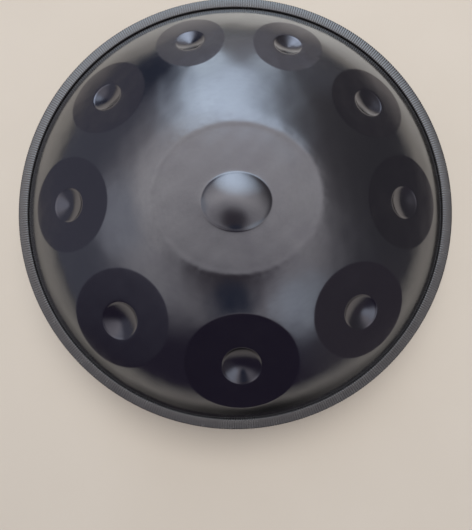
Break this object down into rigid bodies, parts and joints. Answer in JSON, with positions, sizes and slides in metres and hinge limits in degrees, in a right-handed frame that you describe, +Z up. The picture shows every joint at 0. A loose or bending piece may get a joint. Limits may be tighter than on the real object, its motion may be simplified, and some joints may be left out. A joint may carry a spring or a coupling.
{
  "type": "handpan",
  "caption": "Handpan: two domed steel shells glued at a trimmed rim, with a raised oval ding, sunk-dimple tone fields above and a round gu port below.",
  "frame": {"origin": "on the ground plane under the centre of the rim, where the land around the gu port rests", "axes": "+Z up, along the axis of the rim; -Y is the player's side, where the lowest tone field is; +X to the player's right"},
  "size_m": [0.5396, 0.5396, 0.2134],
  "materials": {
    "ding_shell_steel": "gas-nitrided steel, blue-black, satin, with slightly more matte tone fields",
    "gu_shell_steel": "gas-nitrided steel, blue-black, satin",
    "adhesive": "cured black structural adhesive",
    "trim_rubber": "dark grey rubber with fine ribs across the strip"
  },
  "bodies": {
    "root": {"ding_shell": "ding_shell_steel", "gu_shell": "gu_shell_steel", "adhesive_bond": "adhesive", "rim_trim": "trim_rubber"}
  },
  "joints": []
}
